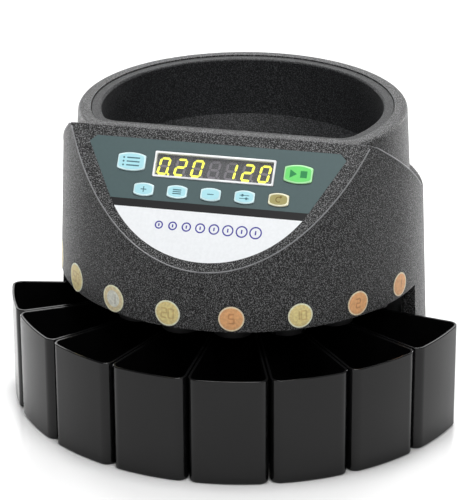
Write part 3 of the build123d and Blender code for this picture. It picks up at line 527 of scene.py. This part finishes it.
def make_overlay():
    """The printed sheet: slate head, black stripe and white foot, with openings."""
    slate, stripe, white, side = range(4)
    outline = overlay_ring()
    sheet = Sheet(outline).add(outline, slate)
    sheet.add(band(STRIPE_END, SLATE_END), stripe)
    sheet.add(band(OVERLAY_BOTTOM - BAND_PAST, STRIPE_END), white)
    half_w = DISPLAY_W / 2 + DISPLAY_GAP
    half_h = DISPLAY_H / 2 + DISPLAY_GAP
    low, high = DISPLAY_V - half_h, DISPLAY_V + half_h
    sheet.add([(-half_w, low), (half_w, low), (half_w, high), (-half_w, high)], None)
    for name in KEYS:
        sheet.add(key_ring(name, KEY_GAP), None)
    palette = [SLATE, STRIPE, WHITE, SHEET_EDGE]
    piece = sheet.build("panel_sheet", on_panel(0), palette, SHEET_THICKNESS, side)
    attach(piece, "machine")
    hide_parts("panel_overlay")


def make_coin_row():
    """Generic line art in place of lettering: a row of coins that grow from small to large."""
    art = Sheet()
    v = COIN_ROW_V
    travel = COIN_ROW_RIGHT - COIN_ROW_LEFT - 2 * COIN_ROW_MARGIN
    for index in range(COIN_ROW_COUNT):
        share = index / (COIN_ROW_COUNT - 1)
        radius = COIN_ROW_SMALL + COIN_ROW_GROWTH * share
        u = COIN_ROW_LEFT + radius + travel * share
        mark = radius * COIN_ROW_MARK
        art.add(circle((u, v), radius, 36), 0)
        art.add(circle((u, v), radius - COIN_ROW_STROKE, 36), None)
        art.add(bar((u, v - mark), (u, v + mark), COIN_ROW_STROKE), 0)
    piece = art.build("coin_row_print", on_panel(PRINT_LIFT), [BLUE])
    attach(piece, "machine")


# ---------------------------------------------------------------- keys
# Each icon is a list of outlines, in millimetres about the key's middle at u, v.

def icon_report(u, v):
    """A list: three lines with a dot before each."""
    rings = []
    for row in (-1, 0, 1):
        rings.append(bar((u - 3.6, v + 2.9 * row), (u + 6.2, v + 2.9 * row), 1.0))
        rings.append(circle((u - 6.0, v + 2.9 * row), 0.75, 12))
    return rings


def icon_start(u, v):
    """A triangle for start over a square for stop."""
    triangle = [(u - 6.2, v - 3.2), (u - 6.2, v + 3.2), (u - 0.9, v)]
    square = [(u + 1.6, v - 2.6), (u + 6.6, v - 2.6), (u + 6.6, v + 2.6), (u + 1.6, v + 2.6)]
    return [triangle, square]


def icon_plus(u, v):
    return [bar((u - 2.2, v), (u + 2.2, v), 0.7), bar((u, v - 2.2), (u, v + 2.2), 0.7)]


def icon_minus(u, v):
    return [bar((u - 2.4, v), (u + 2.4, v), 0.7)]


def icon_batch(u, v):
    """A stack of coins, edge on."""
    return [bar((u - 3.2, v + 1.5 * row), (u + 3.2, v + 1.5 * row), 0.85) for row in (-1, 0, 1)]


def icon_settings(u, v):
    """Two sliders."""
    rings = []
    for row, knob in ((1.2, -1.6), (-1.2, 1.6)):
        rings.append(bar((u - 3.6, v + row), (u + 3.6, v + row), 0.5))
        rings.append(circle((u + knob, v + row), 1.0, 14))
    return rings


def icon_clear(u, v):
    """An open ring with an arrow head: start again."""
    outer = arc((u, v), 2.3, 50, 310, 20)
    inner = arc((u, v), 1.55, 310, 50, 20)
    head = [(u + 0.5, v + 2.9), (u + 2.7, v + 2.6), (u + 1.5, v + 0.7)]
    return [outer + inner, head]


KEY_LOOKS = {
    "key_report": (icon_report, KEY_CYAN, KEY_MARK, "key_cyan"),
    "key_start": (icon_start, KEY_GREEN, GREEN_MARK, "key_green"),
    "key_plus": (icon_plus, KEY_CYAN, KEY_MARK, "key_cyan"),
    "key_batch": (icon_batch, KEY_CYAN, KEY_MARK, "key_cyan"),
    "key_minus": (icon_minus, KEY_CYAN, KEY_MARK, "key_cyan"),
    "key_settings": (icon_settings, KEY_CYAN, KEY_MARK, "key_cyan"),
    "key_clear": (icon_clear, KEY_OLIVE, OLIVE_MARK, "key_olive"),
}


def make_key_prints():
    """The tinted field and the icon on each key's cap."""
    for name, (icon, tint, mark, slot) in KEY_LOOKS.items():
        u, v = key_centre(name)
        art = Sheet().add(key_ring(name, -KEY_BORDER), 0)
        for ring in icon(u, v):
            art.add(ring, 1)
        piece = art.build(name + "_print", on_panel(KEY_PROUD + PRINT_LIFT), [tint, mark])
        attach(piece, name)


# ---------------------------------------------------------------- display digits
DIGIT_PITCH, DIGIT_H, DIGIT_W, STROKE = 12.7, 13.8, 8.4, 1.75
DIGIT_SLANT = math.tan(math.radians(9))
DIGIT_SHIFT_U, DIGIT_SHIFT_V = -0.5, -0.55
SEGMENT_GAP = 0.22
POINT_R, POINT_ASIDE, POINT_UP = 0.85, 0.95, 0.9
DIGIT_LIFT, DIGIT_THICKNESS = 0.06, 0.05
READING = ["0.", "2", "0", " ", "1", "2", "0"]
# The segments a to g of each figure, and the two corners that each segment joins.
SHAPES = {"0": "abcdef", "1": "bc", "2": "abged", "5": "afgcd", " ": ""}
SEGMENTS = {"a": ("tl", "tr"), "b": ("mr", "tr"), "c": ("br", "mr"), "d": ("bl", "br"),
            "e": ("bl", "ml"), "f": ("ml", "tl"), "g": ("ml", "mr")}


def segment_ends(which, u, w, h):
    """A segment's two ends, in a figure 2w wide and 2h tall whose middle is at u."""
    corners = {"tl": (u - w, h), "tr": (u + w, h), "ml": (u - w, 0), "mr": (u + w, 0),
               "bl": (u - w, -h), "br": (u + w, -h)}
    first, last = SEGMENTS[which]
    return corners[first], corners[last]


def segment_ring(which, u, v):
    """One display segment with pointed ends; u, v is the digit's centre."""
    t = STROKE / 2
    (x0, y0), (x1, y1) = segment_ends(which, 0, DIGIT_W / 2 - t, DIGIT_H / 2 - t)
    length = math.hypot(x1 - x0, y1 - y0)
    dx, dy = (x1 - x0) / length, (y1 - y0) / length
    start, end = SEGMENT_GAP, length - SEGMENT_GAP
    outline = ((start, 0), (start + t, t), (end - t, t), (end, 0), (end - t, -t), (start + t, -t))
    ring = []
    for along, across in outline:
        x = x0 + dx * along - dy * across
        y = y0 + dy * along + dx * across
        ring.append((u + x + y * DIGIT_SLANT, v + y))
    return ring


def point_ring(u, v):
    """The decimal point at a digit's lower right."""
    across = u + DIGIT_W / 2 - DIGIT_H / 2 * DIGIT_SLANT + POINT_ASIDE
    return circle((across, v - DIGIT_H / 2 + POINT_UP), POINT_R, 16)


def make_digits():
    """Seven digits: lit segments glow, the rest are dim."""
    lit, dim = Sheet(), Sheet()
    for index, text in enumerate(READING):
        u = DIGIT_PITCH * (index - (len(READING) - 1) / 2) + DIGIT_SHIFT_U
        v = DISPLAY_V + DIGIT_SHIFT_V
        for which in SEGMENTS:
            target = lit if which in SHAPES[text[0]] else dim
            target.add(segment_ring(which, u, v), 0)
        target = lit if "." in text else dim
        target.add(point_ring(u, v), 0)
    for name, sheet, material in (("digits_lit", lit, LED_LIT), ("digits_dim", dim, LED_DIM)):
        piece = sheet.build(name, on_panel(LED_DEPTH + DIGIT_LIFT), [material], DIGIT_THICKNESS, 0)
        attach(piece, "machine")


# ---------------------------------------------------------------- coin labels
LABEL_Z = 115.5
BODY_R0, BODY_TAPER = 145.74, 0.0407    # the skirt's radius at z 0, and its loss per mm up
LABEL_LIFT, LABEL_THICKNESS = 0.3, 0.28
LABEL_RIM = 1.1
LABEL_CORE = 0.62                       # of the radius, for the core of a two-colour label
LABEL_NUMBER = 0.72                     # of the radius, for the number's height
NUMBER_WIDTH, NUMBER_GAP, NUMBER_STROKE = 0.56, 0.22, 0.17      # of the number's height
DOT_COUNT, DOT_R, DOT_RING = 24, 0.22, 0.80
BEND_STEP = 3.0                         # edges longer than this are halved, so a label can bend
BEND_ROUNDS = 4
RING_TONE = (0.84, 0.72, 0.42)
GOLD = (0.95, 0.76, 0.32), (1.0, 0.94, 0.66), (0.76, 0.56, 0.21)
COPPER_TONE = (0.96, 0.47, 0.19), (1.0, 0.76, 0.51), (0.74, 0.31, 0.11)
PALE = (0.86, 0.86, 0.76), (1.0, 0.93, 0.64), (0.66, 0.65, 0.55)
# azimuth, diameter, number shown, tones (field, rim, mark), whether it has a two-colour ring
LABELS = [
    (-70.0, 23.0, "2", GOLD, True),
    (-50.2, 22.1, "50", GOLD, False),
    (-29.8, 20.9, "1", PALE, True),
    (-9.8, 19.9, "20", GOLD, False),
    (9.9, 19.2, "5", COPPER_TONE, False),
    (30.7, 19.0, "10", GOLD, False),
    (50.5, 18.8, "2", COPPER_TONE, False),
    (70.1, 18.4, "1", COPPER_TONE, False),
]


def on_skirt(azimuth, lift):
    """A place function for a label centred at that azimuth on the skirt's cone."""
    def place(s, h, height):
        z = LABEL_Z + h
        radius = BODY_R0 - BODY_TAPER * z + lift + height
        turn = math.radians(azimuth) + s / (BODY_R0 - BODY_TAPER * LABEL_Z)
        return Vector((radius * math.sin(turn) * MM, AXIS_Y - radius * math.cos(turn) * MM, z * MM))
    return place


def number_rings(text, size):
    """Closed outlines of a number about the label's middle, made of straight strokes."""
    width = size * NUMBER_WIDTH
    pitch = width + size * NUMBER_GAP
    rings = []
    for index, figure in enumerate(text):
        u = pitch * (index - (len(text) - 1) / 2)
        for which in SHAPES[figure]:
            start, end = segment_ends(which, u, width / 2, size / 2)
            rings.append(bar(start, end, size * NUMBER_STROKE))
    return rings


def split_long_edges(limit):
    """A step that halves a flat mesh's long edges, so that it can bend round the skirt."""
    def work(mesh):
        for _ in range(BEND_ROUNDS):
            long_edges = [e for e in mesh.edges if e.calc_length() > limit]
            if not long_edges:
                return
            bmesh.ops.subdivide_edges(mesh, edges=long_edges, cuts=1)
            bmesh.ops.triangulate(mesh, faces=mesh.faces)
    return work


def label_ink(name, tone):
    """A soft, mottled print."""
    shader = Shader(name, tone, 0.35)
    low = tuple(c * 0.86 for c in tone)
    high = tuple(min(1, c * 1.12) for c in tone)
    shader.colour(shader.noise(520, 3.0), low, high)
    shader.bump(shader.noise(700), 0.15, 0.00003)
    return shader.material


def label_art(diameter, text, two_tone):
    """A label's flat art: a rim, a field, a ring of dots and a plain number."""
    field, rim, mark, ring_tone = range(4)
    radius = diameter / 2
    art = Sheet().add(circle((0, 0), radius, 56), rim)
    art.add(circle((0, 0), radius - LABEL_RIM, 48), field)
    if two_tone:
        art.add(circle((0, 0), radius - LABEL_RIM, 48), ring_tone)
        art.add(circle((0, 0), radius * LABEL_CORE, 40), field)
    for dot in range(DOT_COUNT):
        angle = 2 * math.pi * dot / DOT_COUNT
        spot = (DOT_RING * radius * math.cos(angle), DOT_RING * radius * math.sin(angle))
        art.add(circle(spot, DOT_R, 6), mark)
    for ring in number_rings(text, radius * LABEL_NUMBER):
        art.add(ring, mark)
    return art


def make_labels():
    """Eight round coin labels round the skirt."""
    rim = 1
    for index, (azimuth, diameter, text, tones, two_tone) in enumerate(LABELS):
        parts = zip(("field", "rim", "mark"), tones)
        inks = [label_ink(f"label_{index}_{part}", tone) for part, tone in parts]
        inks.append(label_ink(f"label_{index}_ring", RING_TONE) if two_tone else inks[0])
        art = label_art(diameter, text, two_tone)
        place = on_skirt(azimuth, LABEL_LIFT)
        bend = split_long_edges(BEND_STEP)
        piece = art.build(f"coin_label_print_{index + 1}", place, inks, LABEL_THICKNESS, rim, bend)
        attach(piece, "machine")
        if index == 0:
            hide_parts("coin_labels")


# ---------------------------------------------------------------- edge beads: painted highlight lines
BEAD_R, BEAD_SUNK = 0.55, 0.32
CREST_Y, SHOULDER_FALL, SHOULDER_END_Y = -73.9, math.tan(math.radians(36.6)), 4.0
CURVE_STEPS, SHOULDER_STEPS = 60, 24
SEARCH_STEP, SEARCH_END = 0.05, 0.5     # how the panel edge's lowest point is looked for
INWARD_FALL = 90                        # how steeply the way in points down, against the radius
BEAD_SIDES = 10


def cone_point(y, z):
    """The +x point of the housing's cone at a depth and height about the drum's axis, in millimetres."""
    radius = BODY_R0 - BODY_TAPER * z
    return math.sqrt(max(0.0, radius ** 2 - y ** 2))


def panel_z(y):
    """Height of the panel's plane at a depth about the drum's axis."""
    return (PANEL_START.z / MM) + math.tan(PANEL_TILT) * (y - (PANEL_START.y - AXIS_Y) / MM)


def bead_line():
    """The edge between the cone and the roof: round the panel, and on along both shoulders."""
    lowest = CREST_Y
    while cone_point(lowest, panel_z(lowest)) > SEARCH_END:
        lowest -= SEARCH_STEP
    half = []
    for step in range(CURVE_STEPS + 1):
        turn = math.pi / 2 * step / CURVE_STEPS
        y = lowest + (CREST_Y - lowest) * (1 - math.cos(turn))
        half.append((cone_point(y, panel_z(y)), y, panel_z(y)))
    crest_z = panel_z(CREST_Y)
    for step in range(1, SHOULDER_STEPS + 1):
        y = CREST_Y + (SHOULDER_END_Y - CREST_Y) * step / SHOULDER_STEPS
        z = crest_z - SHOULDER_FALL * (y - CREST_Y)
        half.append((cone_point(y, z), y, z))
    return [(-x, y, z) for x, y, z in reversed(half)] + half[1:]


def sweep(line, radius):
    """A closed tube along a line of points, in metres."""
    mesh = bmesh.new()
    rings = []
    for index, point in enumerate(line):
        along = (line[min(index + 1, len(line) - 1)] - line[max(index - 1, 0)]).normalized()
        across = along.cross(Vector((0, 0, 1))).normalized()
        up = across.cross(along)
        turns = [2 * math.pi * side / BEAD_SIDES for side in range(BEAD_SIDES)]
        offsets = [radius * (math.cos(t) * across + math.sin(t) * up) for t in turns]
        rings.append([mesh.verts.new(point + offset) for offset in offsets])
    for first, second in zip(rings, rings[1:]):
        for side in range(BEAD_SIDES):
            after = (side + 1) % BEAD_SIDES
            mesh.faces.new((first[side], first[after], second[after], second[side])).smooth = True
    mesh.faces.new(rings[0])
    mesh.faces.new(rings[-1])
    bmesh.ops.recalc_face_normals(mesh, faces=mesh.faces)
    return mesh


def make_beads():
    """Thin tubes in a lighter tone along the edge of cone and roof, which paint its highlight line, in
    runs that stay below the crest.
    """
    ceiling = CAD_BOUNDS[1].z / MM - BEAD_R
    runs = [[]]
    for x, y, z in bead_line():
        inward = Vector((-x, -y, -INWARD_FALL)).normalized() * BEAD_SUNK
        point = Vector((x, y, z)) + inward
        if point.z < ceiling:
            runs[-1].append(point * MM + Vector((0, AXIS_Y, 0)))
        elif runs[-1]:
            runs.append([])
    for index, run in enumerate(runs):
        data = bpy.data.meshes.new(f"highlight_bead_{index + 1}")
        mesh = sweep(run, BEAD_R * MM)
        mesh.to_mesh(data)
        mesh.free()
        data.materials.append(PAINTED_EDGE_HIGHLIGHT)
        piece = bpy.data.objects.new(f"highlight_bead_{index + 1}", data)
        bpy.context.scene.collection.objects.link(piece)
        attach(piece, "machine")


# ---------------------------------------------------------------- floor
FLOOR_REACH = 6.0


def add_floor():
    """A pale, slightly glossy floor that reaches past every edge of the picture."""
    mesh = bmesh.new()
    signs = ((-1, -1), (1, -1), (1, 1), (-1, 1))
    corners = [mesh.verts.new((x * FLOOR_REACH, y * FLOOR_REACH, 0)) for x, y in signs]
    mesh.faces.new(corners)
    data = bpy.data.meshes.new("floor")
    mesh.to_mesh(data)
    mesh.free()
    shader = Shader("floor_paper", (0.93, 0.93, 0.93), 0.17)
    shader.rough(shader.noise(3), 0.14, 0.2)
    data.materials.append(shader.material)
    floor = bpy.data.objects.new("floor", data)
    bpy.context.scene.collection.objects.link(floor)


# ---------------------------------------------------------------- everything

add_camera()
add_lights()
add_floor()
dress_cad_nodes()
make_overlay()
make_coin_row()
make_key_prints()
make_digits()
make_labels()
make_beads()
